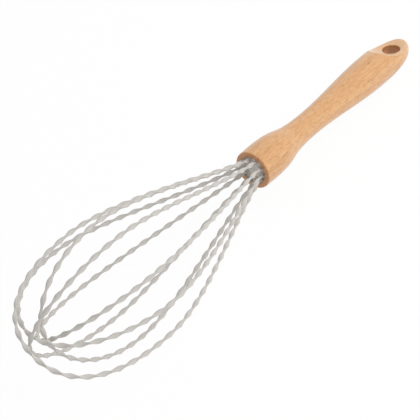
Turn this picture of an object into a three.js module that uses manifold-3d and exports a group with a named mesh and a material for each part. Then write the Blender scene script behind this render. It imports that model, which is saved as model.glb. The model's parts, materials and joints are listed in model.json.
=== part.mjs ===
// Balloon whisk: a turned beech handle and five nested loops of twisted silicone strip.
// Each strip is moulded over a spring steel core wire, and the bare ends of the wires are
// cast into a resin plug in the handle's bore, whose core rises between the strands.
// Millimetres. The whisk is built along its own axis: the handle's mouth is at height 0, the
// tip of the balloon towards +Z, +Y is up. It is then laid on a table with its tip towards -X.
import * as THREE from "three";
import { mergeVertices } from "three/addons/utils/BufferGeometryUtils.js";
import Module from "manifold-3d";

// Silicone strip and its core wire
const stripWidth = 2.7;
const stripThickness = 1.4;
const turnPitch = 16.1;
const stepsPerTurn = 8;
const coreDiameter = 0.6;
const coreClearance = 0.12;
const coreSteps = 60;

// Balloon of loops, heights measured from the handle's mouth
const strandClearance = 0.65;
const bellyRadius = 33;
const bellyHeight = 104;
const bellyLength = 33;
const rootLength = 21.5;
const innerApexHeight = 150;
const nestClearance = 0.9;
const shoulderFullness = 0.59;
// No two loops are alike. From the innermost outwards, swell is a share of the belly radius, turn
// is in degrees off the even spacing, and crown is how square the loop's top is. Lean bends the whole
// loop aside and nod only its top, both as shares of the belly radius. Stretch is a share of the
// pitch, and phase is how far the strip has turned at its foot, in degrees.
const loopSettings = [
  {
    swell: 1.007, turn: 1.1, crown: 0.55, lean: [-0.205, -0.121], nod: [0.059, -0.012],
    stretch: 0.978, phase: 79,
  },
  {
    swell: 1.022, turn: -0.2, crown: 0.495, lean: [0.076, 0.054], nod: [-0.077, 0.089],
    stretch: 1.001, phase: 167,
  },
  {
    swell: 1.016, turn: -1.6, crown: 0.53, lean: [-0.249, 0.155], nod: [0.142, -0.013],
    stretch: 1.011, phase: 80,
  },
  {
    swell: 1.012, turn: 5.6, crown: 0.445, lean: [-0.05, 0.119], nod: [-0.047, -0.06],
    stretch: 1.006, phase: 146,
  },
  {
    swell: 1.051, turn: 10.7, crown: 0.69, lean: [0.067, 0.029], nod: [0.04, 0.067],
    stretch: 0.999, phase: 11,
  },
];

// Beech handle, depths measured back from the mouth
const handleLength = 151;
const mouthWall = 3.1;
const mouthRound = 0.8;
const bulgeSwell = 0.2;
const bulgeDepth = 9.8;
const bulgeEase = 0.49;
const neckDiameter = 14.3;
const neckDepth = 51;
const neckEase = 0.67;
const gripDiameter = 21.2;
const gripRun = 13;
const gripEase = 0.33;
const domeLength = 24;
const boreClearance = 1.3;

// Hanging hole: drilled between two round dishes in the end of the handle, with this much wood left
// between them at its edge. The whisk lies with the hole rolled about the handle's axis, in degrees.
const holeRoll = 8;
const holeDiameter = 10.6;
const holeSetback = 14.05;
const holeChamfer = 0.8;
const holeLength = 6.9;
const dishRadius = 22;

// Resin plug: how far the silicone and then the bare wires go in, the resin left under them, and the
// core of resin between the strands
const fitGap = 0.3;
const sleeveInsertion = 9;
const coreAnchorage = 7;
const plugFloor = 2;
const coreRecess = 0.6;
const coreCrown = 1.5;
const coreFlare = 0.6;

// Facets
const handleSegments = 28;
const holeSegments = 20;
const domeSteps = 6;
const gripSteps = 7;
const swellSteps = 8;
const lipSteps = 2;
const crownSteps = 3;
const dishSteps = 4;
const dishSegments = 20;
const lengthSamples = 800;

// Overrun of a cutter past the surface it cuts
const overrun = 1;

const wasm = await Module();
wasm.setup();

const beech = new THREE.MeshStandardMaterial({ color: "#e0b07c", roughness: 0.6, metalness: 0 });
const silicone = new THREE.MeshStandardMaterial({ color: "#c8c4be", roughness: 0.55, metalness: 0 });
const springSteel = new THREE.MeshStandardMaterial({ color: "#b9bcc0", roughness: 0.3, metalness: 1 });
const resin = new THREE.MeshStandardMaterial({ color: "#a9a59f", roughness: 0.5, metalness: 0 });

function mesh(name, geometry, material) {
  const piece = new THREE.Mesh(geometry, material);
  piece.name = name;
  return piece;
}

// Closed geometry to solid and back, for cutting one shape out of another
function toSolid(geometry) {
  const bare = new THREE.BufferGeometry();
  bare.setAttribute("position", geometry.getAttribute("position"));
  bare.setIndex(geometry.getIndex());
  const merged = mergeVertices(bare, 1e-4);
  const vertProperties = new Float32Array(merged.getAttribute("position").array);
  const triVerts = new Uint32Array(merged.getIndex().array);
  return new wasm.Manifold(new wasm.Mesh({ numProp: 3, vertProperties, triVerts }));
}

function cut(geometry, tools) {
  const solid = tools.reduce((left, tool) => left.subtract(toSolid(tool)), toSolid(geometry));
  const { vertProperties, triVerts } = solid.getMesh();
  const result = new THREE.BufferGeometry();
  result.setAttribute("position", new THREE.BufferAttribute(vertProperties, 3));
  result.setIndex(new THREE.BufferAttribute(triVerts, 1));
  result.computeVertexNormals();
  return result;
}

// Turned shape about +Z from an outline of (radius, height) points that starts and ends on the axis
function turned(outline, segments) {
  const geometry = new THREE.LatheGeometry(outline, segments);
  return geometry.rotateX(Math.PI / 2);
}

// Solid swept through rings of points. With an inner set of rings it is a tube open at both ends.
// The quads are split along the diagonal that follows a right-handed twist.
function swept(outerRings, innerRings) {
  const positions = [];
  const faces = [];
  const sides = outerRings[0].length;
  const addRings = (rings) => {
    const first = positions.length / 3;
    rings.flat().forEach((point) => positions.push(point.x, point.y, point.z));
    return (ring, side) => first + ring * sides + (side % sides);
  };
  const addSkin = (at, count, inward) => {
    for (let ring = 0; ring + 1 < count; ring++) {
      for (let side = 0; side < sides; side++) {
        const quad = [at(ring, side), at(ring, side + 1), at(ring + 1, side + 1), at(ring + 1, side)];
        const [a, b, c, d] = inward ? quad.reverse() : quad;
        faces.push(a, b, d, b, c, d);
      }
    }
  };
  const outer = addRings(outerRings);
  const last = outerRings.length - 1;
  addSkin(outer, outerRings.length, false);
  if (innerRings) {
    const inner = addRings(innerRings);
    const end = innerRings.length - 1;
    addSkin(inner, innerRings.length, true);
    for (let side = 0; side < sides; side++) {
      const near = [outer(0, side + 1), outer(0, side), inner(0, side), inner(0, side + 1)];
      const far = [outer(last, side), outer(last, side + 1), inner(end, side + 1), inner(end, side)];
      [near, far].forEach(([a, b, c, d]) => faces.push(a, b, c, a, c, d));
    }
  } else {
    for (let side = 1; side + 1 < sides; side++) {
      faces.push(outer(0, 0), outer(0, side + 1), outer(0, side));
      faces.push(outer(last, 0), outer(last, side), outer(last, side + 1));
    }
  }
  const geometry = new THREE.BufferGeometry();
  geometry.setAttribute("position", new THREE.Float32BufferAttribute(positions, 3));
  geometry.setIndex(faces);
  geometry.computeVertexNormals();
  return geometry;
}

// The strands leave the plug evenly spaced on a ring just wide enough for them
const strandCount = 2 * loopSettings.length;
const ringRadius = (strandCount * (stripWidth + strandClearance)) / (2 * Math.PI);
const strandAngle = (2 * Math.PI) / strandCount;
const boreRadius = ringRadius + stripWidth / 2 + boreClearance;
const boreDepth = sleeveInsertion + coreAnchorage + plugFloor + 2 * fitGap;
const mouthRadius = boreRadius + mouthWall;
const nestStep = stripWidth + nestClearance;

// Path of one loop: up one leg, over the apex and down the other, about the whisk's axis.
// Neighbours in the nest are two strand spacings apart, and each apex bridges over the last.
class LoopPath extends THREE.Curve {
  constructor(settings, order) {
    super();
    this.apexHeight = innerApexHeight + order * nestStep;
    this.azimuth = strandAngle * (1 + 2 * order);
    this.turn = THREE.MathUtils.degToRad(settings.turn);
    this.lean = settings.lean.map((share) => share * bellyRadius);
    this.nod = settings.nod.map((share) => share * bellyRadius);
    const bulge = settings.swell * bellyRadius;
    const shoulder = bellyHeight + shoulderFullness * (this.apexHeight - bellyHeight);
    this.leg = new THREE.CubicBezierCurve(
      new THREE.Vector2(ringRadius, -sleeveInsertion),
      new THREE.Vector2(ringRadius, rootLength - sleeveInsertion),
      new THREE.Vector2(bulge, bellyHeight - bellyLength),
      new THREE.Vector2(bulge, bellyHeight),
    );
    this.crown = new THREE.CubicBezierCurve(
      new THREE.Vector2(bulge, bellyHeight),
      new THREE.Vector2(bulge, shoulder),
      new THREE.Vector2(settings.crown * bulge, this.apexHeight),
      new THREE.Vector2(0, this.apexHeight),
    );
  }

  getPoint(t, target = new THREE.Vector3()) {
    const along = 1 - Math.abs(2 * t - 1);
    const profile = along < 0.5 ? this.leg.getPoint(2 * along) : this.crown.getPoint(2 * along - 1);
    const height = profile.y;
    const radius = t < 0.5 ? profile.x : -profile.x;
    const rise = (height + sleeveInsertion) / (this.apexHeight + sleeveInsertion);
    const splay = THREE.MathUtils.smoothstep(height, -sleeveInsertion, bellyHeight);
    const angle = this.azimuth + this.turn * splay;
    const [asideX, asideY] = this.lean.map((lean, axis) => lean * rise ** 2 + this.nod[axis] * rise ** 6);
    const x = radius * Math.cos(angle) + asideX;
    const y = radius * Math.sin(angle) + asideY;
    return target.set(x, y, height);
  }

  // Ring of four points about the path: the first on the loop's plane, turned by the given angle
  ring(t, width, thickness, angle) {
    const centre = this.getPoint(t);
    const tangent = this.getTangent(t);
    const planeNormal = new THREE.Vector3(-Math.sin(this.azimuth), Math.cos(this.azimuth), 0);
    const across = new THREE.Vector3().crossVectors(planeNormal, tangent).normalize();
    const side = new THREE.Vector3().crossVectors(tangent, across);
    return [0, 1, 2, 3].map((corner) => {
      const reach = corner % 2 === 0 ? width / 2 : thickness / 2;
      const direction = angle + (corner * Math.PI) / 2;
      const point = centre.clone().addScaledVector(across, reach * Math.cos(direction));
      return point.addScaledVector(side, reach * Math.sin(direction));
    });
  }
}

const channelDiameter = coreDiameter + 2 * coreClearance;

function evenly(count, place) {
  return Array.from({ length: count + 1 }, (_, index) => place(index / count));
}

// One strand: the twisted silicone strip with a round channel, and the wire that fills it
function makeLoop(settings, order) {
  const path = new LoopPath(settings, order);
  path.arcLengthDivisions = lengthSamples;
  const turns = path.getLength() / (turnPitch * settings.stretch);
  const phase = THREE.MathUtils.degToRad(settings.phase);
  const stripRings = evenly(Math.round(turns * stepsPerTurn), (share) =>
    path.ring(path.getUtoTmapping(share), stripWidth, stripThickness, phase + 2 * Math.PI * turns * share),
  );
  const channelRings = evenly(coreSteps, (t) => path.ring(t, channelDiameter, channelDiameter, 0));
  const wireRings = evenly(coreSteps, (t) => path.ring(t, coreDiameter, coreDiameter, 0));
  const lowered = (ring, depth) => ring.map((point) => point.clone().setZ(point.z - depth));
  const tail = fitGap + coreAnchorage;
  const wholeWire = [lowered(wireRings[0], tail), ...wireRings, lowered(wireRings[coreSteps], tail)];
  const loop = new THREE.Group();
  loop.add(mesh(`silicone_loop_${order + 1}`, swept(stripRings, channelRings), silicone));
  loop.add(mesh(`core_wire_${order + 1}`, swept(wholeWire), springSteel));
  const [firstFoot, lastFoot] = [channelRings[0], channelRings[coreSteps]];
  const sockets = [
    swept([lowered(firstFoot, tail + coreClearance), firstFoot]),
    swept([lastFoot, lowered(lastFoot, tail + coreClearance)]),
  ];
  return { loop, sockets };
}

const loops = loopSettings.map(makeLoop);

// Resin plug: cast in the bottom of the bore round the bare ends of the ten wires. Its core fills the
// space inside the ring of strands, widening as they spread, and is domed just below the mouth.
function makePlug() {
  const radius = boreRadius - fitGap;
  const top = -sleeveInsertion - fitGap;
  const bottom = fitGap - boreDepth;
  const coreFoot = ringRadius - stripWidth / 2 - fitGap;
  const coreTop = -coreRecess - coreCrown;
  const crown = new THREE.EllipseCurve(0, coreTop, coreFoot + coreFlare, coreCrown, 0, Math.PI / 2);
  const outline = [
    new THREE.Vector2(0, bottom),
    new THREE.Vector2(radius, bottom),
    new THREE.Vector2(radius, top),
    new THREE.Vector2(coreFoot, top),
    ...crown.getPoints(crownSteps),
  ];
  const sockets = loops.flatMap((made) => made.sockets);
  return mesh("anchor_plug", cut(turned(outline, handleSegments), sockets), resin);
}

// Handle outline: dome at the far end, grip, neck, bulge, rounded mouth, then down into the bore
const bulgeRadius = mouthRadius + bulgeSwell;
const neckRadius = neckDiameter / 2;
const gripRadius = gripDiameter / 2;
const domeDepth = handleLength - domeLength;

function handleOutline() {
  const gripDepth = domeDepth - gripRun;
  const neckToGrip = gripDepth - neckDepth;
  const bulgeToNeck = neckDepth - bulgeDepth;
  const dome = new THREE.EllipseCurve(0, -domeDepth, gripRadius, domeLength, -Math.PI / 2, 0);
  const grip = new THREE.CubicBezierCurve(
    new THREE.Vector2(gripRadius, -gripDepth),
    new THREE.Vector2(gripRadius, -gripDepth + gripEase * neckToGrip),
    new THREE.Vector2(neckRadius, -neckDepth - gripEase * neckToGrip),
    new THREE.Vector2(neckRadius, -neckDepth),
  );
  const swell = new THREE.CubicBezierCurve(
    new THREE.Vector2(neckRadius, -neckDepth),
    new THREE.Vector2(neckRadius, -neckDepth + neckEase * bulgeToNeck),
    new THREE.Vector2(bulgeRadius, -bulgeDepth - bulgeEase * bulgeToNeck),
    new THREE.Vector2(bulgeRadius, -bulgeDepth),
  );
  const lipCentre = mouthRadius - mouthRound;
  const lip = new THREE.EllipseCurve(lipCentre, -mouthRound, mouthRound, mouthRound, 0, Math.PI / 2);
  return [
    ...dome.getPoints(domeSteps),
    ...grip.getPoints(gripSteps),
    ...swell.getPoints(swellSteps).slice(1),
    ...lip.getPoints(lipSteps),
    new THREE.Vector2(boreRadius, 0),
    new THREE.Vector2(boreRadius, -boreDepth),
    new THREE.Vector2(0, -boreDepth),
  ];
}

// Ball cutter for one dish, coaxial with the hanging hole
function hangingDish() {
  const centre = holeLength / 2 + Math.sqrt(dishRadius ** 2 - (holeDiameter / 2) ** 2);
  const clear = gripRadius + overrun;
  const reach = Math.acos((centre - clear) / dishRadius);
  const bowl = new THREE.EllipseCurve(0, centre, dishRadius, dishRadius, -Math.PI / 2, reach - Math.PI / 2);
  const outline = [...bowl.getPoints(dishSteps), new THREE.Vector2(0, clear)];
  const geometry = new THREE.LatheGeometry(outline, dishSegments);
  return geometry.translate(0, 0, holeSetback - handleLength);
}

// Drill for the hanging hole, with a chamfer where it breaks through each dish
function hangingDrill() {
  const radius = holeDiameter / 2;
  const edge = holeLength / 2;
  const outline = [
    new THREE.Vector2(0, -edge - overrun),
    new THREE.Vector2(radius + holeChamfer + overrun, -edge - overrun),
    new THREE.Vector2(radius, holeChamfer - edge),
    new THREE.Vector2(radius, edge - holeChamfer),
    new THREE.Vector2(radius + holeChamfer + overrun, edge + overrun),
    new THREE.Vector2(0, edge + overrun),
  ];
  const geometry = new THREE.LatheGeometry(outline, holeSegments);
  return geometry.translate(0, 0, holeSetback - handleLength);
}

function makeHandle() {
  const blank = turned(handleOutline(), handleSegments);
  const roll = THREE.MathUtils.degToRad(holeRoll);
  const tools = [hangingDish(), hangingDish().rotateZ(Math.PI), hangingDrill()];
  return mesh("handle", cut(blank, tools.map((tool) => tool.rotateZ(roll))), beech);
}

const handle = makeHandle();
const whisk = new THREE.Group();
whisk.add(handle, makePlug(), ...loops.map((made) => made.loop));

// The whisk lies on the table on the belly of its balloon and on its grip.
// Height of a piece's lowest point when the tip is raised by the given angle
function lowestPoint(piece, tilt) {
  const corners = piece.geometry.getAttribute("position");
  let lowest = Infinity;
  for (let index = 0; index < corners.count; index++) {
    const height = corners.getY(index) * Math.cos(tilt) + corners.getZ(index) * Math.sin(tilt);
    lowest = Math.min(lowest, height);
  }
  return lowest;
}

// Halve the range of tilts until the belly and the grip touch the table together
function restingTilt() {
  let low = 0;
  let high = Math.PI / 6;
  while (high - low > 1e-6) {
    const tilt = (low + high) / 2;
    const belly = Math.min(...loops.map(({ loop }) => lowestPoint(loop.children[0], tilt)));
    if (belly < lowestPoint(handle, tilt)) low = tilt;
    else high = tilt;
  }
  return low;
}

const tilt = restingTilt();
const tipward = new THREE.Vector3(-Math.cos(tilt), 0, Math.sin(tilt));
const upward = new THREE.Vector3(Math.sin(tilt), 0, Math.cos(tilt));
const sideways = new THREE.Vector3().crossVectors(upward, tipward);
whisk.setRotationFromMatrix(new THREE.Matrix4().makeBasis(sideways, upward, tipward));
const laidWhisk = new THREE.Group();
laidWhisk.add(whisk);
const extent = new THREE.Box3().setFromObject(laidWhisk, true);
const middle = extent.getCenter(new THREE.Vector3());
whisk.position.set(-middle.x, -middle.y, -extent.min.z);

export default laidWhisk;
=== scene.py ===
# Balloon whisk: five loops of twisted silicone strip in a turned beech handle.
# The file follows the whisk as it is put together: core wires, silicone strips, handle and resin
# plug, then the floor, the light and the camera. Metres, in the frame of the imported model.
import json
import math

import bmesh
import bpy
from mathutils import Matrix, Vector
from mathutils.geometry import interpolate_bezier

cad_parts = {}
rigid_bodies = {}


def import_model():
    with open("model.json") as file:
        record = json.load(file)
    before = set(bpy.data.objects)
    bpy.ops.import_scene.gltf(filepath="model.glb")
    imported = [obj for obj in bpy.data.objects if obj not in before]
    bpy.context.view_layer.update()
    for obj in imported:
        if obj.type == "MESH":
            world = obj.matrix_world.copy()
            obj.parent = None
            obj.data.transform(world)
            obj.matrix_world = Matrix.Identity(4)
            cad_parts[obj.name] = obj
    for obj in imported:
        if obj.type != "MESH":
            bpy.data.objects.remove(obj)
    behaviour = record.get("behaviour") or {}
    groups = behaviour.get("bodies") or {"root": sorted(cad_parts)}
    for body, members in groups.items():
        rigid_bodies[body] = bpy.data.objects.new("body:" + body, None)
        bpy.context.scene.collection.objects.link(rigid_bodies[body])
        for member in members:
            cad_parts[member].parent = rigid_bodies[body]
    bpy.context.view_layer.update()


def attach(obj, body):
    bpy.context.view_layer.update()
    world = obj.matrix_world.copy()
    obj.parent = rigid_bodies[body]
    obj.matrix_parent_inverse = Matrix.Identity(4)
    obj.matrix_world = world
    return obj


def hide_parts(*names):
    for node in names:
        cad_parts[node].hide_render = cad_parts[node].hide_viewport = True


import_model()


# Core wires
# Each loop stands on one length of hard-drawn spring steel wire, and no two are bent quite alike.
# Both ends are left bare, and go down into the resin plug in the handle's bore.
mm = 0.001

# The whisk is drawn about its own axis, mouth of the handle at height 0 and tip at the top, and is
# then laid on the table on its belly and its grip, with the tip lifted.
tip_lift = math.radians(5.6718)
mouth_centre = Vector((7.16616, -2.24393, 22.47034)) * mm
sideways = Vector((0, -1, 0))
upwards = Vector((math.sin(tip_lift), 0, math.cos(tip_lift)))
tipwards = Vector((-math.cos(tip_lift), 0, math.sin(tip_lift)))
laid_down = Matrix.Translation(mouth_centre) @ Matrix((sideways, upwards, tipwards)).transposed().to_4x4()

strand_ring = 5.3317 * mm
strand_spacing = math.radians(36)
foot_depth = 9 * mm
root_length = 21.5 * mm
belly_radius = 33 * mm
belly_height = 104 * mm
belly_length = 33 * mm
inner_apex = 150 * mm
nest_step = 3.6 * mm
shoulder_fullness = 0.59
curve_points = 101
# Fitted to the strands in the photograph. From the innermost loop outwards: share of the belly's
# radius, degrees off the even spacing, how square the top is, lean of the whole loop and nod of its
# top alone as shares of the belly's radius, share of the strip's pitch, and how far the strip has
# turned at its foot, in degrees. The last swell is trimmed so that its strip stays in the solids' box.
loop_bends = [
    dict(swell=1.007, turn=1.1, crown=0.550, lean=(-0.205, -0.121), nod=(0.059, -0.012),
         stretch=0.978, first_turn=79),
    dict(swell=1.022, turn=-0.2, crown=0.495, lean=(0.076, 0.054), nod=(-0.077, 0.089),
         stretch=1.001, first_turn=167),
    dict(swell=1.016, turn=-1.6, crown=0.530, lean=(-0.249, 0.155), nod=(0.142, -0.013),
         stretch=1.011, first_turn=80),
    dict(swell=1.012, turn=5.6, crown=0.445, lean=(-0.050, 0.119), nod=(-0.047, -0.060),
         stretch=1.006, first_turn=146),
    dict(swell=1.0495, turn=10.7, crown=0.690, lean=(0.067, 0.029), nod=(0.040, 0.067),
         stretch=0.999, first_turn=11),
]


def loop_azimuth(order):
    """Angle round the whisk's axis at which a loop's first leg leaves the handle."""
    return strand_spacing * (1 + 2 * order)


def bent_loop(order, bend, tail=0.0):
    """Points along one loop, from foot to foot: up one leg, over the apex and down the other."""
    apex = inner_apex + order * nest_step
    belly = bend["swell"] * belly_radius
    shoulder = belly_height + shoulder_fullness * (apex - belly_height)
    leg = [(strand_ring, -foot_depth), (strand_ring, root_length - foot_depth),
           (belly, belly_height - belly_length), (belly, belly_height)]
    crown = [(belly, belly_height), (belly, shoulder), (bend["crown"] * belly, apex), (0, apex)]
    side = [point for part in (leg, crown)
            for point in interpolate_bezier(*[Vector((*p, 0)) for p in part], curve_points)[:-1]]
    outline = [(p.x, p.y) for p in side] + [(0, apex)] + [(-p.x, p.y) for p in reversed(side)]
    points = []
    for radius, height in outline:
        rise = (height + foot_depth) / (apex + foot_depth)
        splay = min((height + foot_depth) / (belly_height + foot_depth), 1)
        splay = splay * splay * (3 - 2 * splay)
        angle = loop_azimuth(order) + math.radians(bend["turn"]) * splay
        x, y = [radius * part + belly_radius * (lean * rise ** 2 + nod * rise ** 6) for part, lean, nod
                in zip((math.cos(angle), math.sin(angle)), bend["lean"], bend["nod"])]
        points.append(Vector((x, y, height)))
    if tail:
        drop = Vector((0, 0, tail))
        points = [points[0] - drop, *points, points[-1] - drop]
    return [laid_down @ point for point in points]


def linear(hex_colour):
    """sRGB hex to the linear colour that a shader takes."""
    parts = [int(hex_colour[i:i + 2], 16) / 255 for i in (1, 3, 5)]
    return (*[p / 12.92 if p <= 0.04045 else ((p + 0.055) / 1.055) ** 2.4 for p in parts], 1)


def add_node(tree, kind, settings, sockets):
    """One node with its settings; each socket gets a value, or a link from another node's output."""
    node = tree.nodes.new(kind)
    for name, value in settings.items():
        setattr(node, name, value)
    for name, value in sockets.items():
        if isinstance(value, bpy.types.NodeSocket):
            tree.links.new(value, node.inputs[name])
        else:
            node.inputs[name].default_value = value
    return node


def new_material(name):
    """An empty material: its node tree, with the shader and the output joined."""
    material = bpy.data.materials.new(name)
    material.use_nodes = True
    tree = material.node_tree
    tree.nodes.clear()
    shader = add_node(tree, "ShaderNodeBsdfPrincipled", {}, {})
    add_node(tree, "ShaderNodeOutputMaterial", {}, {"Surface": shader.outputs["BSDF"]})
    return material, tree, shader


def new_sweep(name, inputs):
    """An empty Geometry Nodes tree with named inputs, and the path that it sweeps along."""
    tree = bpy.data.node_groups.new(name, "GeometryNodeTree")
    tree.interface.new_socket("Path", in_out="INPUT", socket_type="NodeSocketGeometry")
    for label, kind in inputs.items():
        tree.interface.new_socket(label, in_out="INPUT", socket_type="NodeSocket" + kind)
    tree.interface.new_socket("Piece", in_out="OUTPUT", socket_type="NodeSocketGeometry")
    given = add_node(tree, "NodeGroupInput", {}, {}).outputs
    path = add_node(tree, "GeometryNodeMeshToCurve", {}, {"Mesh": given["Path"]}).outputs["Curve"]
    return tree, given, path


def end_sweep(tree, mesh, material):
    """Last nodes of a sweep: smooth shading, real faces and the material."""
    smooth = add_node(tree, "GeometryNodeSetShadeSmooth", {}, {"Geometry": mesh})
    real = add_node(tree, "GeometryNodeRealizeInstances", {}, {"Geometry": smooth.outputs["Geometry"]})
    coated = add_node(tree, "GeometryNodeSetMaterial", {},
                      {"Geometry": real.outputs["Geometry"], "Material": material})
    add_node(tree, "NodeGroupOutput", {}, {"Piece": coated.outputs["Geometry"]})


def evaluated_mesh(piece):
    """The piece's modifiers made into a plain mesh, and taken off."""
    made = bpy.data.meshes.new_from_object(piece.evaluated_get(bpy.context.evaluated_depsgraph_get()))
    piece.modifiers.clear()
    piece.data = made
    made.name = piece.name
    return piece


def put_in_scene(data):
    """An object in the scene, named for the mesh, lamp or lens that it holds."""
    thing = bpy.data.objects.new(data.name, data)
    bpy.context.scene.collection.objects.link(thing)
    return thing


def sweep_along(name, tree, points, values):
    """A piece swept along the points by the tree, with the tree's inputs set to the values."""
    line = bpy.data.meshes.new(name)
    line.from_pydata(points, [(i, i + 1) for i in range(len(points) - 1)], [])
    piece = put_in_scene(line)
    modifier = piece.modifiers.new("sweep", "NODES")
    modifier.node_group = tree
    for item in tree.interface.items_tree:
        if item.in_out == "INPUT" and item.name in values:
            modifier[item.identifier] = values[item.name]
    return evaluated_mesh(piece)


# Hard-drawn spring steel: drawing and bending leave a grey, half-bright skin with fine scuffs. They
# are a few hundredths of a millimetre wide, and are drawn 0.3 mm wide so that they show.
drawn_steel, tree, shader = new_material("hard_drawn_spring_steel")
place = add_node(tree, "ShaderNodeTexCoord", {}, {})
scuffs = add_node(tree, "ShaderNodeTexNoise", {},
                  {"Vector": place.outputs["Object"], "Scale": 1 / (0.3 * mm), "Detail": 2.0})
# On a Mix node for colours, input 0 is the share, inputs 6 and 7 the colours, and output 2 the mix
skin = add_node(tree, "ShaderNodeMix", {"data_type": "RGBA"},
                {0: scuffs.outputs["Fac"], 6: linear("#A9ACB0"), 7: linear("#C6C8CB")})
tree.links.new(skin.outputs[2], shader.inputs["Base Color"])
dulled = add_node(tree, "ShaderNodeMapRange", {},
                  {"Value": scuffs.outputs["Fac"], "To Min": 0.24, "To Max": 0.4})
tree.links.new(dulled.outputs["Result"], shader.inputs["Roughness"])
shader.inputs["Metallic"].default_value = 1.0

wire_sweep, given, path = new_sweep("wire_along_loop", {
    "Wire Diameter": "Float", "Wire Finish": "Material"})
radius = add_node(wire_sweep, "ShaderNodeMath", {"operation": "MULTIPLY"},
                  {0: given["Wire Diameter"], 1: 0.5})
section = add_node(wire_sweep, "GeometryNodeCurvePrimitiveCircle", {},
                   {"Resolution": 10, "Radius": radius.outputs[0]})
wire = add_node(wire_sweep, "GeometryNodeCurveToMesh", {},
                {"Curve": path, "Profile Curve": section.outputs["Curve"], "Fill Caps": True})
end_sweep(wire_sweep, wire.outputs["Mesh"], given["Wire Finish"])

wire_diameter = 0.56 * mm
wire_tail = 7.3 * mm
for order, bend in enumerate(loop_bends):
    wire = sweep_along(f"drawn_wire_{order + 1}", wire_sweep, bent_loop(order, bend, wire_tail),
                       {"Wire Diameter": wire_diameter, "Wire Finish": drawn_steel})
    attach(wire, "root")
    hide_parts(f"core_wire_{order + 1}")


# Silicone loops
# A silicone strip is moulded over each wire, thickest over the wire and thin at its rounded edges, and
# twisted right-handed all along it, one turn in about 16 mm. From the side the twist makes beads.

# Warm grey silicone from a blasted mould: matte and even, with a soft shine only on the edges.
# The mould's grain is about 0.05 mm, and is drawn at 0.5 mm so that it shows.
matte_silicone, tree, shader = new_material("matte_warm_grey_silicone")
place = add_node(tree, "ShaderNodeTexCoord", {}, {})
cloud = add_node(tree, "ShaderNodeTexNoise", {},
                 {"Vector": place.outputs["Object"], "Scale": 1 / (9 * mm), "Detail": 2.0})
grit = add_node(tree, "ShaderNodeTexNoise", {},
                {"Vector": place.outputs["Object"], "Scale": 1 / (0.5 * mm), "Detail": 3.0,
                 "Roughness": 0.6})
shade = add_node(tree, "ShaderNodeMix", {"data_type": "RGBA"},
                 {0: cloud.outputs["Fac"], 6: linear("#C8C3BD"), 7: linear("#D5D1CC")})
tree.links.new(shade.outputs[2], shader.inputs["Base Color"])
dulled = add_node(tree, "ShaderNodeMapRange", {},
                  {"Value": grit.outputs["Fac"], "To Min": 0.5, "To Max": 0.66})
tree.links.new(dulled.outputs["Result"], shader.inputs["Roughness"])
grain = add_node(tree, "ShaderNodeBump", {},
                 {"Height": grit.outputs["Fac"], "Strength": 0.25, "Distance": 0.04 * mm})
tree.links.new(grain.outputs["Normal"], shader.inputs["Normal"])
shader.inputs["IOR"].default_value = 1.41

strip_sweep, given, path = new_sweep("twisted_strip_along_loop", {
    "Loop Normal": "Vector", "Strip Width": "Float", "Strip Thickness": "Float", "Edge Taper": "Float",
    "Turn Length": "Float", "First Turn": "Float", "Step Length": "Float", "Strip Finish": "Material"})
stepped = add_node(strip_sweep, "GeometryNodeResampleCurve", {"mode": "LENGTH"},
                   {"Curve": path, "Length": given["Step Length"]})
# The strip's width turns about the path. Its angle is counted from the loop's own plane, starts at
# the first turn and gains one turn in every turn length.
along = add_node(strip_sweep, "GeometryNodeSplineParameter", {}, {})
turns = add_node(strip_sweep, "ShaderNodeMath", {"operation": "DIVIDE"},
                 {0: along.outputs["Length"], 1: given["Turn Length"]})
angle = add_node(strip_sweep, "ShaderNodeMath", {"operation": "MULTIPLY_ADD"},
                 {0: turns.outputs[0], 1: 2 * math.pi, 2: given["First Turn"]})
ahead = add_node(strip_sweep, "GeometryNodeInputTangent", {}, {})
across = add_node(strip_sweep, "ShaderNodeVectorMath", {"operation": "CROSS_PRODUCT"},
                  {0: given["Loop Normal"], 1: ahead.outputs["Tangent"]})
across = add_node(strip_sweep, "ShaderNodeVectorMath", {"operation": "NORMALIZE"}, {0: across.outputs[0]})
width = add_node(strip_sweep, "ShaderNodeVectorRotate", {"rotation_type": "AXIS_ANGLE"},
                 {"Vector": across.outputs[0], "Axis": ahead.outputs["Tangent"],
                  "Angle": angle.outputs[0]})
turned = add_node(strip_sweep, "GeometryNodeSetCurveNormal", {"mode": "FREE"},
                  {"Curve": stepped.outputs["Curve"], "Normal": width.outputs["Vector"]})
# The section is a circle of radius 1 pulled out to the strip's width and pressed to its thickness,
# more so towards the edges.
circle = add_node(strip_sweep, "GeometryNodeCurvePrimitiveCircle", {}, {"Resolution": 24, "Radius": 1.0})
spot = add_node(strip_sweep, "GeometryNodeInputPosition", {}, {})
spot = add_node(strip_sweep, "ShaderNodeSeparateXYZ", {}, {"Vector": spot.outputs["Position"]})
height = add_node(strip_sweep, "ShaderNodeMath", {"operation": "ABSOLUTE"}, {0: spot.outputs["Y"]})
height = add_node(strip_sweep, "ShaderNodeMath", {"operation": "POWER"},
                  {0: height.outputs[0], 1: given["Edge Taper"]})
facing = add_node(strip_sweep, "ShaderNodeMath", {"operation": "SIGN"}, {0: spot.outputs["Y"]})
height = add_node(strip_sweep, "ShaderNodeMath", {"operation": "MULTIPLY"},
                  {0: height.outputs[0], 1: facing.outputs[0]})
full = add_node(strip_sweep, "ShaderNodeCombineXYZ", {}, {"X": spot.outputs["X"], "Y": height.outputs[0]})
half = add_node(strip_sweep, "ShaderNodeCombineXYZ", {},
                {"X": given["Strip Width"], "Y": given["Strip Thickness"]})
half = add_node(strip_sweep, "ShaderNodeVectorMath", {"operation": "SCALE"},
                {0: half.outputs[0], "Scale": 0.5})
pressed = add_node(strip_sweep, "ShaderNodeVectorMath", {"operation": "MULTIPLY"},
                   {0: full.outputs[0], 1: half.outputs[0]})
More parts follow.
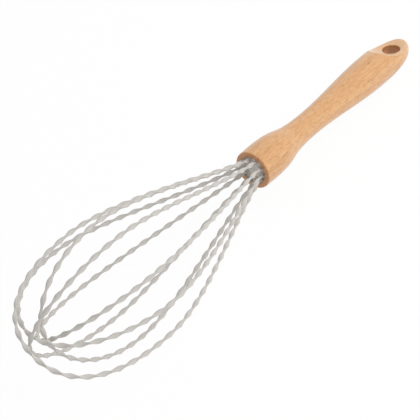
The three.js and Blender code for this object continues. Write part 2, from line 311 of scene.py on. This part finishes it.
section = add_node(strip_sweep, "GeometryNodeSetPosition", {},
                   {"Geometry": circle.outputs["Curve"], "Position": pressed.outputs[0]})
strip = add_node(strip_sweep, "GeometryNodeCurveToMesh", {},
                 {"Curve": turned.outputs["Curve"], "Profile Curve": section.outputs["Geometry"],
                  "Fill Caps": True})
end_sweep(strip_sweep, strip.outputs["Mesh"], given["Strip Finish"])

strip_width = 2.58 * mm
strip_thickness = 1.26 * mm
edge_taper = 1.5
turn_pitch = 16.1 * mm
sweep_step = 0.65 * mm
for order, bend in enumerate(loop_bends):
    azimuth = loop_azimuth(order)
    loop_normal = laid_down.to_3x3() @ Vector((-math.sin(azimuth), math.cos(azimuth), 0))
    strip = sweep_along(f"twisted_strip_{order + 1}", strip_sweep, bent_loop(order, bend), {
        "Loop Normal": loop_normal, "Strip Width": strip_width, "Strip Thickness": strip_thickness,
        "Edge Taper": edge_taper, "Turn Length": turn_pitch * bend["stretch"],
        "First Turn": math.radians(bend["first_turn"]), "Step Length": sweep_step,
        "Strip Finish": matte_silicone})
    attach(strip, "root")
    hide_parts(f"silicone_loop_{order + 1}")


# Handle
# Turned from one piece of beech along the grain: bored at the mouth for the loops, waisted for the
# fingers, domed at the far end. A ball cutter dishes the end on two sides, a hole is drilled between
# the dishes to hang it up, and the whole is sanded round and oiled.
handle_length = 150.95 * mm
mouth_radius = 11.08 * mm
mouth_round = 0.8 * mm
bore_radius = 7.98 * mm
bore_round = 0.5 * mm
bore_depth = 18.6 * mm
bulge_radius = 11.28 * mm
bulge_depth = 9.8 * mm
neck_radius = 7.15 * mm
neck_depth = 51 * mm
grip_radius = 10.6 * mm
grip_depth = 114 * mm
grip_ease = 0.33
neck_ease = 0.67
bulge_ease = 0.49
brow_ease = 0.5
lip_ease = 0.2
dome_depth = 127 * mm
hole_roll = math.radians(8)
hole_radius = 5.28 * mm
hole_depth = 136.95 * mm
hole_half = 3.45 * mm
hole_round = 0.6 * mm
dish_radius = 22 * mm
dish_blend = 3 * mm
cut_weld = 0.002 * mm
sharp_edge = math.radians(40)


def turned_mesh(name, outline, segments):
    """A mesh turned about the whisk's axis from an outline of (radius, height) points that starts
    and ends on that axis."""
    points, faces, rings = [], [], []
    for radius, height in outline:
        first = len(points)
        if radius == 0:
            points.append((0, 0, height))
            rings.append([first] * segments)
            continue
        for step in range(segments):
            angle = 2 * math.pi * step / segments
            points.append((radius * math.cos(angle), radius * math.sin(angle), height))
        rings.append(list(range(first, first + segments)))
    for low, high in zip(rings, rings[1:]):
        for step in range(segments):
            after = (step + 1) % segments
            # Beside a point on the axis, two of the four corners are the same
            corners = [low[step], low[after], high[after], high[step]]
            faces.append(list(dict.fromkeys(corners)))
    mesh = bpy.data.meshes.new(name)
    mesh.from_pydata(points, [], faces)
    mesh.validate()
    return mesh


def arc(centre, radius, start, end, steps):
    """Points of a circle's arc between two angles in degrees."""
    angles = [math.radians(start + (end - start) * step / steps) for step in range(steps + 1)]
    return [(centre[0] + radius * math.cos(a), centre[1] + radius * math.sin(a)) for a in angles]


def eased(start, pull, end, end_pull, steps):
    """Points of a curve that leaves and arrives along the handle's length."""
    knots = [start, (start[0], start[1] + pull), (end[0], end[1] - end_pull), end]
    return [(p.x, p.y) for p in interpolate_bezier(*[Vector((*k, 0)) for k in knots], steps + 1)]


dome_length = handle_length - dome_depth
dome_steps = 72
dome = [(grip_radius * math.sin(a), -dome_depth - dome_length * math.cos(a))
        for a in [math.radians(90 * step / dome_steps) for step in range(dome_steps)]]
dome[0] = (0, -handle_length)
run_length = dome_depth - grip_depth
run_steps = 36
grip_run = [(grip_radius, -dome_depth + run_length * step / run_steps) for step in range(run_steps)]
reach = grip_depth - neck_depth
grip = eased((grip_radius, -grip_depth), grip_ease * reach,
             (neck_radius, -neck_depth), grip_ease * reach, steps=40)
reach = neck_depth - bulge_depth
swell = eased((neck_radius, -neck_depth), neck_ease * reach,
              (bulge_radius, -bulge_depth), bulge_ease * reach, steps=32)
reach = bulge_depth - mouth_round
brow = eased((bulge_radius, -bulge_depth), brow_ease * reach,
             (mouth_radius, -mouth_round), lip_ease * reach, steps=10)
lip = arc((mouth_radius - mouth_round, -mouth_round), mouth_round, 0, 90, steps=10)
bore_lip = arc((bore_radius + bore_round, -bore_round), bore_round, 90, 180, steps=5)
bore = [(bore_radius, -bore_depth * share) for share in (0.2, 0.5, 0.8)]
bore += [(bore_radius, -bore_depth), (0.5 * bore_radius, -bore_depth), (0, -bore_depth)]
outline = dome + grip_run + grip[:-1] + swell[:-1] + brow[:-1] + lip + bore_lip + bore
handle = put_in_scene(turned_mesh("turned_handle", outline, segments=144))

# The dishes are coaxial with the hole, and the edge where they meet the round of the handle is sanded
# over.
dish_centre = hole_half + math.sqrt(dish_radius ** 2 - hole_radius ** 2)
dish_rim = 0.98 * dish_radius


def dish_height(x, height):
    """Half the thickness that the two dishes leave at a place on the handle's end."""
    from_axis = min(math.hypot(x, height + hole_depth), dish_rim)
    return dish_centre - math.sqrt(dish_radius ** 2 - from_axis ** 2)


for vertex in handle.data.vertices:
    x, y, height = vertex.co
    if height > -grip_depth:
        continue
    left = dish_height(x, height)
    near = max(1 - abs(abs(y) - left) / dish_blend, 0)
    thinned = min(abs(y), left) - near * near * dish_blend / 4
    vertex.co.y = math.copysign(max(thinned, 0), y)


def cut_away(piece, cutter):
    """Take the cutter's shape out of the piece when its modifiers are made into a mesh."""
    cut = piece.modifiers.new(cutter.name, "BOOLEAN")
    cut.operation = "DIFFERENCE"
    cut.solver = "EXACT"
    cut.object = cutter


# The drill, with a flare that rounds the hole's edge in each dish
flare_end = 125
flare = arc((hole_radius + hole_round, hole_half - hole_round), hole_round, 180, flare_end, steps=7)
flare_slope = math.tan(math.radians(flare_end - 90))
clearance = 2 * mm
brim = (flare[-1][0] + (clearance + hole_half - flare[-1][1]) / flare_slope, hole_half + clearance)
half = flare + [brim]
mirrored = [(r, -h) for r, h in reversed(half)]
drill_mesh = turned_mesh("drill", [(0, -brim[1])] + mirrored + half + [(0, brim[1])], segments=72)
drill_mesh.transform(Matrix.Translation((0, 0, -hole_depth)) @ Matrix.Rotation(math.radians(-90), 4, "X"))
drill = put_in_scene(drill_mesh)
cut_away(handle, drill)
handle.modifiers.new("clean_cut", "WELD").merge_threshold = cut_weld
evaluated_mesh(handle)
bpy.data.objects.remove(drill)

# The rougher cuts drink the oil and go dark: the mouth, the bore and the wall of the hole. The same
# darkening is also painted shade there. The dishes are painted pale: a painted sheen, for the white
# room's reflection at a grazing angle. Resin has run over the wall of the bore. Each point keeps how
# much of the three it shows.
hole_lip = 0.2 * mm
near_wall = 0.1 * mm
sheen_reach = 1.5 * mm
# How dark the mouth's end face goes: its oiled end grain, and painted shade
mouth_soak_and_shade = 0.75
mouth_tilt = 0.35
# One value a point for each: oil darkening with painted shade, painted sheen, and resin
soak_and_shade = handle.data.attributes.new("oil_soak_and_shade", "FLOAT", "POINT")
sheen_mask = handle.data.attributes.new("painted_sheen", "FLOAT", "POINT")
smear = handle.data.attributes.new("resin_smear", "FLOAT", "POINT")
for vertex, normal in zip(handle.data.vertices, handle.data.vertex_normals):
    x, y, height = vertex.co
    from_hole = math.hypot(x, height + hole_depth) - hole_radius
    level = 0
    if height > -bulge_depth:
        level = mouth_soak_and_shade * max(abs(normal.vector.z) - mouth_tilt, 0) / (1 - mouth_tilt)
    if height > -bore_depth - near_wall and math.hypot(x, y) < bore_radius + near_wall:
        level = 1
        smear.data[vertex.index].value = 1
    if from_hole < hole_lip:
        level = max(level, 1 - max(from_hole, 0) / hole_lip)
    soak_and_shade.data[vertex.index].value = min(level, 1)
    # Painted sheen: the dishes are painted paler, for the white room's reflection at a grazing angle
    if height < -grip_depth:
        from_dish = dish_height(x, height) - abs(y)
        sheen_mask.data[vertex.index].value = min(max(1 - from_dish / sheen_reach, 0), 1)
handle.data.shade_smooth()
handle.data.set_sharp_from_angle(angle=sharp_edge)
handle.data.transform(laid_down @ Matrix.Rotation(hole_roll, 4, "Z"))

# Oiled beech: a warm tan with wide, faint growth rings, a fine mottle along the grain and a few short
# brown flecks of its rays, satin from the oil. The mottle is 0.1 mm and the flecks 0.2 mm wide, and
# both are drawn about 0.6 mm wide so that they show.
oiled_beech, tree, shader = new_material("oiled_beech")
place = add_node(tree, "ShaderNodeTexCoord", {}, {})
# Grain space: X along the handle from its mouth, Y and Z across it from its axis
turned_mouth = Matrix.Rotation(-tip_lift, 3, "Y") @ mouth_centre
grain = add_node(tree, "ShaderNodeMapping", {},
                 {"Vector": place.outputs["Object"], "Location": -turned_mouth,
                  "Rotation": (0, -tip_lift, 0)})
# Growth rings 2.6 mm wide about a pith that lies 45 mm to the side of the handle
pith = add_node(tree, "ShaderNodeMapping", {},
                {"Vector": grain.outputs["Vector"], "Location": (0, -22 * mm, 39 * mm),
                 "Rotation": (0, math.radians(1.5), math.radians(1))})
rings = add_node(tree, "ShaderNodeTexWave",
                 {"wave_type": "RINGS", "rings_direction": "X", "wave_profile": "SIN"},
                 {"Vector": pith.outputs["Vector"], "Scale": math.pi / 10 / (2.6 * mm), "Distortion": 3.0,
                  "Detail": 2.0, "Detail Scale": 0.25})
long = add_node(tree, "ShaderNodeMapping", {}, {"Vector": grain.outputs["Vector"], "Scale": (0.06, 1, 1)})
streaks = add_node(tree, "ShaderNodeTexNoise", {},
                   {"Vector": long.outputs["Vector"], "Scale": 1 / (1.2 * mm), "Detail": 4.0,
                    "Roughness": 0.6})
short = add_node(tree, "ShaderNodeMapping", {}, {"Vector": grain.outputs["Vector"], "Scale": (0.3, 1, 1)})
mottle = add_node(tree, "ShaderNodeTexNoise", {},
                  {"Vector": short.outputs["Vector"], "Scale": 1 / (1.1 * mm), "Detail": 4.0,
                   "Roughness": 0.8})
rays = add_node(tree, "ShaderNodeTexNoise", {},
                {"Vector": short.outputs["Vector"], "Scale": 1 / (1.5 * mm), "Detail": 1.0})
flecks = add_node(tree, "ShaderNodeMapRange", {"interpolation_type": "SMOOTHSTEP"},
                  {"Value": rays.outputs["Fac"], "From Min": 0.68, "From Max": 0.8})
drift = add_node(tree, "ShaderNodeTexNoise", {},
                 {"Vector": long.outputs["Vector"], "Scale": 1 / (14 * mm), "Detail": 1.0})
body = add_node(tree, "ShaderNodeMix", {"data_type": "RGBA"},
                {0: drift.outputs["Fac"], 6: linear("#DEA972"), 7: linear("#E8B883")})
ringed = add_node(tree, "ShaderNodeMath", {"operation": "MULTIPLY"}, {0: rings.outputs["Fac"], 1: 0.3})
fine = add_node(tree, "ShaderNodeMapRange", {},
                {"Value": streaks.outputs["Fac"], "From Min": 0.48, "From Max": 0.76, "To Max": 0.6})
specks = add_node(tree, "ShaderNodeMapRange", {},
                  {"Value": mottle.outputs["Fac"], "From Min": 0.46, "From Max": 0.66, "To Max": 0.72})
faint = add_node(tree, "ShaderNodeMath", {"operation": "MULTIPLY"}, {0: flecks.outputs["Result"], 1: 0.7})
# Painted sheen on the dishes, standing in for the white room's reflection
sheen_share = add_node(tree, "ShaderNodeAttribute", {"attribute_name": "painted_sheen"}, {})
sheen_share = add_node(tree, "ShaderNodeMath", {"operation": "MULTIPLY"}, {0: sheen_share.outputs["Fac"], 1: 0.6})
# Oil darkening, with painted shade in the hole, the bore and on the mouth's face
soaked_and_shaded = add_node(tree, "ShaderNodeAttribute", {"attribute_name": "oil_soak_and_shade"}, {})
smeared = add_node(tree, "ShaderNodeAttribute", {"attribute_name": "resin_smear"}, {})
smeared = add_node(tree, "ShaderNodeMath", {"operation": "MULTIPLY"}, {0: smeared.outputs["Fac"], 1: 0.9})
# Layers over the plain wood, in turn: rings, streaks, mottle, flecks, painted sheen, oil with painted
# shade, and resin. The oil and painted shade darken what lies below them, and the others cover it.
layers = [
    (ringed.outputs[0], "MIX", "#CF9459"),
    (fine.outputs["Result"], "MIX", "#C58A54"),
    (specks.outputs["Result"], "MIX", "#C2874F"),
    (faint.outputs[0], "MIX", "#A06838"),
    (sheen_share.outputs[0], "MIX", "#E6C19B"),
    (soaked_and_shaded.outputs["Fac"], "MULTIPLY", "#D6BA9B"),
    (smeared.outputs[0], "MIX", "#C2BCB4"),
]
for share, blend, colour in layers:
    body = add_node(tree, "ShaderNodeMix", {"data_type": "RGBA", "blend_type": blend},
                    {0: share, 6: body.outputs[2], 7: linear(colour)})
tree.links.new(body.outputs[2], shader.inputs["Base Color"])
satin = add_node(tree, "ShaderNodeMapRange", {},
                 {"Value": streaks.outputs["Fac"], "To Min": 0.38, "To Max": 0.55})
tree.links.new(satin.outputs["Result"], shader.inputs["Roughness"])
pores = add_node(tree, "ShaderNodeBump", {"invert": True},
                 {"Height": specks.outputs["Result"], "Strength": 0.3, "Distance": 0.05 * mm})
tree.links.new(pores.outputs["Normal"], shader.inputs["Normal"])
shader.inputs["IOR"].default_value = 1.5
# The oil dries to a thin clear film
shader.inputs["Coat Weight"].default_value = 0.7
shader.inputs["Coat Roughness"].default_value = 0.2
handle.data.materials.clear()
handle.data.materials.append(oiled_beech)
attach(handle, "root")
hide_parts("handle")


# Resin plug
# Poured into the bore round the feet of the loops and the bare ends of their wires, where it sets
# hard and holds them. It has crept up the wall of the bore, stands highest inside the ring of
# strands, and shows grey between them at the mouth.
plug_radius = bore_radius - 0.03 * mm
plug_foot = bore_depth - 0.1 * mm
fill_depth = 2.2 * mm
creep_height = 0.9 * mm
creep_reach = 0.7 * mm
core_rise = 1.5 * mm
fill_steps = 24
sliver = 0.025 * mm


def fill_height(radius):
    """Height of the resin's surface at a distance from the whisk's axis."""
    creep = creep_height * math.exp((radius - plug_radius) / creep_reach)
    return creep - fill_depth + core_rise * (1 - (radius / plug_radius) ** 2) ** 2


surface = [plug_radius * (1 - step / fill_steps) for step in range(fill_steps + 1)]
outline = [(0, -plug_foot), (plug_radius, -plug_foot)] + [(r, fill_height(r)) for r in surface]
plug = put_in_scene(turned_mesh("cast_plug", outline, segments=96))
plug.data.transform(laid_down)
for order in range(len(loop_bends)):
    cut_away(plug, bpy.data.objects[f"drawn_wire_{order + 1}"])
    cut_away(plug, bpy.data.objects[f"twisted_strip_{order + 1}"])
evaluated_mesh(plug)
# The cuts leave slivers along the strands, and these are closed up
cast = bmesh.new()
cast.from_mesh(plug.data)
bmesh.ops.remove_doubles(cast, verts=cast.verts, dist=sliver)
bmesh.ops.triangulate(cast, faces=cast.faces, ngon_method="BEAUTY")
cast.to_mesh(plug.data)
cast.free()
plug.data.shade_smooth()
plug.data.set_sharp_from_angle(angle=sharp_edge)

# Cast grey resin: dull, as grey as the silicone, with soft clouds and small bubbles.
cast_resin, tree, shader = new_material("cast_grey_resin")
place = add_node(tree, "ShaderNodeTexCoord", {}, {})
cloud = add_node(tree, "ShaderNodeTexNoise", {},
                 {"Vector": place.outputs["Object"], "Scale": 1 / (4 * mm), "Detail": 2.0})
shade = add_node(tree, "ShaderNodeMix", {"data_type": "RGBA"},
                 {0: cloud.outputs["Fac"], 6: linear("#C8C3BC"), 7: linear("#DBD6CF")})
tree.links.new(shade.outputs[2], shader.inputs["Base Color"])
bubbles = add_node(tree, "ShaderNodeTexVoronoi", {},
                   {"Vector": place.outputs["Object"], "Scale": 1 / (1.2 * mm)})
pitted = add_node(tree, "ShaderNodeMapRange", {},
                  {"Value": bubbles.outputs["Distance"], "From Max": 0.25})
pits = add_node(tree, "ShaderNodeBump", {},
                {"Height": pitted.outputs["Result"], "Strength": 0.4, "Distance": 0.1 * mm})
tree.links.new(pits.outputs["Normal"], shader.inputs["Normal"])
shader.inputs["Roughness"].default_value = 0.5
shader.inputs["IOR"].default_value = 1.54
plug.data.materials.clear()
plug.data.materials.append(cast_resin)
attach(plug, "root")
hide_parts("anchor_plug")


# Studio
# A white board under the whisk, a large soft lamp high up beyond the end of the handle and to one
# side, and an even white room. The camera looks down from beyond the tip, as in the photograph.
bpy.context.scene.view_settings.view_transform = "Standard"

floor_reach = 4
corners = [(x * floor_reach, y * floor_reach, 0) for x, y in ((-1, -1), (1, -1), (1, 1), (-1, 1))]
floor_mesh = bpy.data.meshes.new("floor")
floor_mesh.from_pydata(corners, [], [(0, 1, 2, 3)])
floor = put_in_scene(floor_mesh)


def seen_directly(tree):
    """1 for a ray from the camera, or one that a shine or a clear piece sends on; 0 for the rest."""
    ray = add_node(tree, "ShaderNodeLightPath", {}, {})
    seen = add_node(tree, "ShaderNodeMath", {"operation": "MAXIMUM"},
                    {0: ray.outputs["Is Camera Ray"], 1: ray.outputs["Is Glossy Ray"]})
    seen = add_node(tree, "ShaderNodeMath", {"operation": "MAXIMUM"},
                    {0: seen.outputs[0], 1: ray.outputs["Is Transmission Ray"]})
    return seen.outputs[0]


# White studio board: seen directly it is mostly plain white, and it keeps a faint shadow.
white_board, tree, shader = new_material("white_studio_board")
shader.inputs["Base Color"].default_value = linear("#FFFFFF")
shader.inputs["Roughness"].default_value = 0.9
shader.inputs["Specular IOR Level"].default_value = 0.0
bare = add_node(tree, "ShaderNodeMath", {"operation": "MULTIPLY"}, {0: seen_directly(tree), 1: 0.95})
glow = add_node(tree, "ShaderNodeEmission", {}, {"Color": (1, 1, 1, 1), "Strength": 1.0})
board = add_node(tree, "ShaderNodeMixShader", {},
                 {0: bare.outputs[0], 1: shader.outputs["BSDF"], 2: glow.outputs["Emission"]})
tree.links.new(board.outputs["Shader"], tree.nodes["Material Output"].inputs["Surface"])
floor.data.materials.append(white_board)

room = bpy.data.worlds.new("white_room")
room.use_nodes = True
tree = room.node_tree
tree.nodes.clear()
level = add_node(tree, "ShaderNodeMapRange", {},
                 {"Value": seen_directly(tree), "To Min": 0.6, "To Max": 1.0})
light = add_node(tree, "ShaderNodeBackground", {},
                 {"Color": (1, 1, 1, 1), "Strength": level.outputs["Result"]})
add_node(tree, "ShaderNodeOutputWorld", {}, {"Surface": light.outputs["Background"]})
bpy.context.scene.world = room

soft_lamp = bpy.data.lights.new("soft_lamp", "AREA")
soft_lamp.shape = "DISK"
soft_lamp.size = 0.7
soft_lamp.energy = 4.6
lamp = put_in_scene(soft_lamp)
lamp_aim = Vector((0, 0, 0.03))
lamp.location = (0.45, -0.45, 0.75)
# Kept out of reflections, so that it draws no stripe along the oil film
lamp.visible_glossy = False
lamp.rotation_mode = "QUATERNION"
lamp.rotation_quaternion = (lamp_aim - lamp.location).to_track_quat("-Z", "Y")

lens = bpy.data.cameras.new("camera")
lens.sensor_fit = "HORIZONTAL"
lens.sensor_width = 36
lens.lens = 97.04
lens.clip_start = 0.01
camera = put_in_scene(lens)
camera_place = Vector((-0.320448, -0.292820, 0.434615))
camera_right = Vector((0.622237, -0.77553, -0.106619))
camera_up = Vector((0.601247, 0.38623, 0.699518))
camera_back = Vector((-0.501325, -0.49937, 0.706608))
turn = Matrix((camera_right, camera_up, camera_back)).transposed()
camera.matrix_world = Matrix.Translation(camera_place) @ turn.to_4x4()
bpy.context.scene.camera = camera
